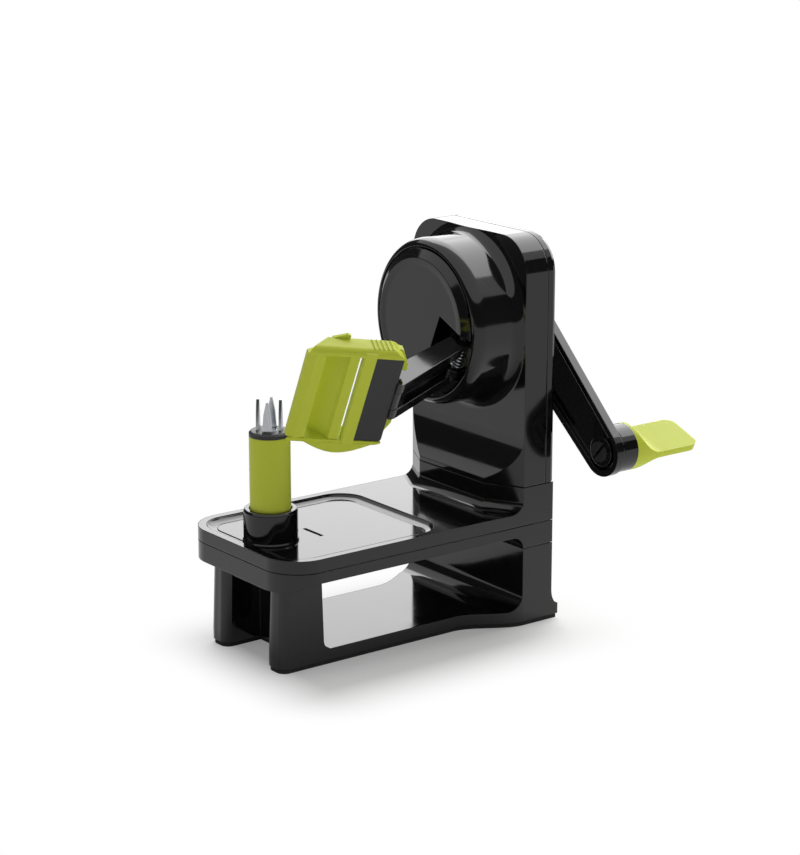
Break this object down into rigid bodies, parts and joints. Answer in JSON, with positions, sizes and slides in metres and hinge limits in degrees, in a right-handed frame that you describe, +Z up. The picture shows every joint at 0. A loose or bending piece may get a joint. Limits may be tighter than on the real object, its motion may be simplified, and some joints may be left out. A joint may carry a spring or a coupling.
{
  "type": "apple peeler",
  "caption": "Hand-cranked table-top apple peeler: a geared crank turns a forked fruit spindle while a slow drum swings a sprung blade arm round the fruit.",
  "frame": {"origin": "on the table, on the underside of the sole, below the middle of the base's length and width", "axes": "+X to the right seen from the fruit end, +Y from the fruit end to the crank end, +Z up"},
  "size_m": [0.1083, 0.1976, 0.1696],
  "materials": {
    "rubber": "matte black",
    "black": "polished black moulding",
    "soft_black": "satin black moulding",
    "lime": "lime green moulding",
    "steel": "bright steel",
    "brass": "plain turned brass",
    "nylon": "natural nylon"
  },
  "bodies": {
    "frame": {"rubber_sole": "rubber", "stand": "black", "base_pan": "black", "base_cover": "black", "spindle_collar": "black", "spindle_bush": "brass", "front_shaft_bush": "brass", "rear_shaft_bush": "brass", "tower_front": "black", "tower_back": "black", "gear_plate": "nylon", "plate_screws": "steel", "tower_screws": "steel", "leg_screws": "steel", "front_crank_bush": "brass", "rear_crank_bush": "brass", "lower_axle": "steel", "motion_axle": "steel"},
    "crank": {"crank_shaft": "steel", "crank_gear": "nylon", "crank_arm": "black", "hub_cap": "black", "crank_screw": "steel", "grip_pin": "soft_black"},
    "grip": {"grip_sleeve": "black", "grip_paddle": "lime"},
    "lower_idler": {"lower_idler_gear": "nylon"},
    "arm_idler": {"motion_idler": "nylon"},
    "drive": {"drive_shaft": "steel", "shaft_pinion": "nylon", "miter_pinion": "nylon"},
    "spindle": {"spindle_shaft": "steel", "spindle_gear": "nylon", "spindle_tube": "lime", "fork_hub": "soft_black", "fork_prongs": "steel"},
    "drum": {"arm_carrier": "black", "drum_gear": "nylon", "carrier_screws": "steel", "arm_pin": "steel", "arm_spring": "steel"},
    "arm": {"blade_arm": "black", "arm_screws": "steel", "head_carrier": "soft_black", "blade_cartridge": "lime", "peeling_blade": "steel", "blade_rivets": "steel"}
  },
  "joints": [
    {"name": "crank_turn", "type": "hinge", "parent": "frame", "child": "crank", "pos_m": [0, 0.06, 0.1309], "axis": [0, -1, 0], "range_deg": [-64, 1984]},
    {"name": "lower_idler_spin", "type": "hinge", "parent": "frame", "child": "lower_idler", "pos_m": [0, 0.06, 0.0784], "axis": [0, -1, 0], "range_deg": [-2645.34, 85.34]},
    {"name": "drive_shaft_spin", "type": "hinge", "parent": "frame", "child": "drive", "pos_m": [0, 0.06, 0.0409], "axis": [0, -1, 0], "range_deg": [-128, 3968]},
    {"name": "spindle_spin", "type": "hinge", "parent": "frame", "child": "spindle", "pos_m": [0, -0.0511, 0.06], "axis": [0, 0, 1], "range_deg": [-128, 3968]},
    {"name": "arm_idler_spin", "type": "hinge", "parent": "frame", "child": "arm_idler", "pos_m": [0, 0.048, 0.1134], "axis": [0, -1, 0], "range_deg": [-496, 16]},
    {"name": "drum_turn", "type": "hinge", "parent": "frame", "child": "drum", "pos_m": [0, 0.04, 0.1309], "axis": [0, -1, 0], "range_deg": [-4, 124]},
    {"name": "arm_swing", "type": "hinge", "parent": "drum", "child": "arm", "pos_m": [0.02229, 0.0308, 0.12098], "axis": [0.4067, 0, 0.9135], "range_deg": [0, 15], "stiffness_Nm_per_rad": 0.06, "springref_deg": -114.59},
    {"name": "grip_spin", "type": "hinge", "parent": "crank", "child": "grip", "pos_m": [0.05834, 0.0833, 0.07837], "axis": [0, -1, 0], "continuous": true}
  ],
  "couplings": [
    {"joint": "lower_idler_spin", "follows": "crank_turn", "ratio": -1.3333},
    {"joint": "drive_shaft_spin", "follows": "crank_turn", "ratio": 2},
    {"joint": "spindle_spin", "follows": "crank_turn", "ratio": 2},
    {"joint": "arm_idler_spin", "follows": "crank_turn", "ratio": -0.25},
    {"joint": "drum_turn", "follows": "crank_turn", "ratio": 0.0625}
  ]
}
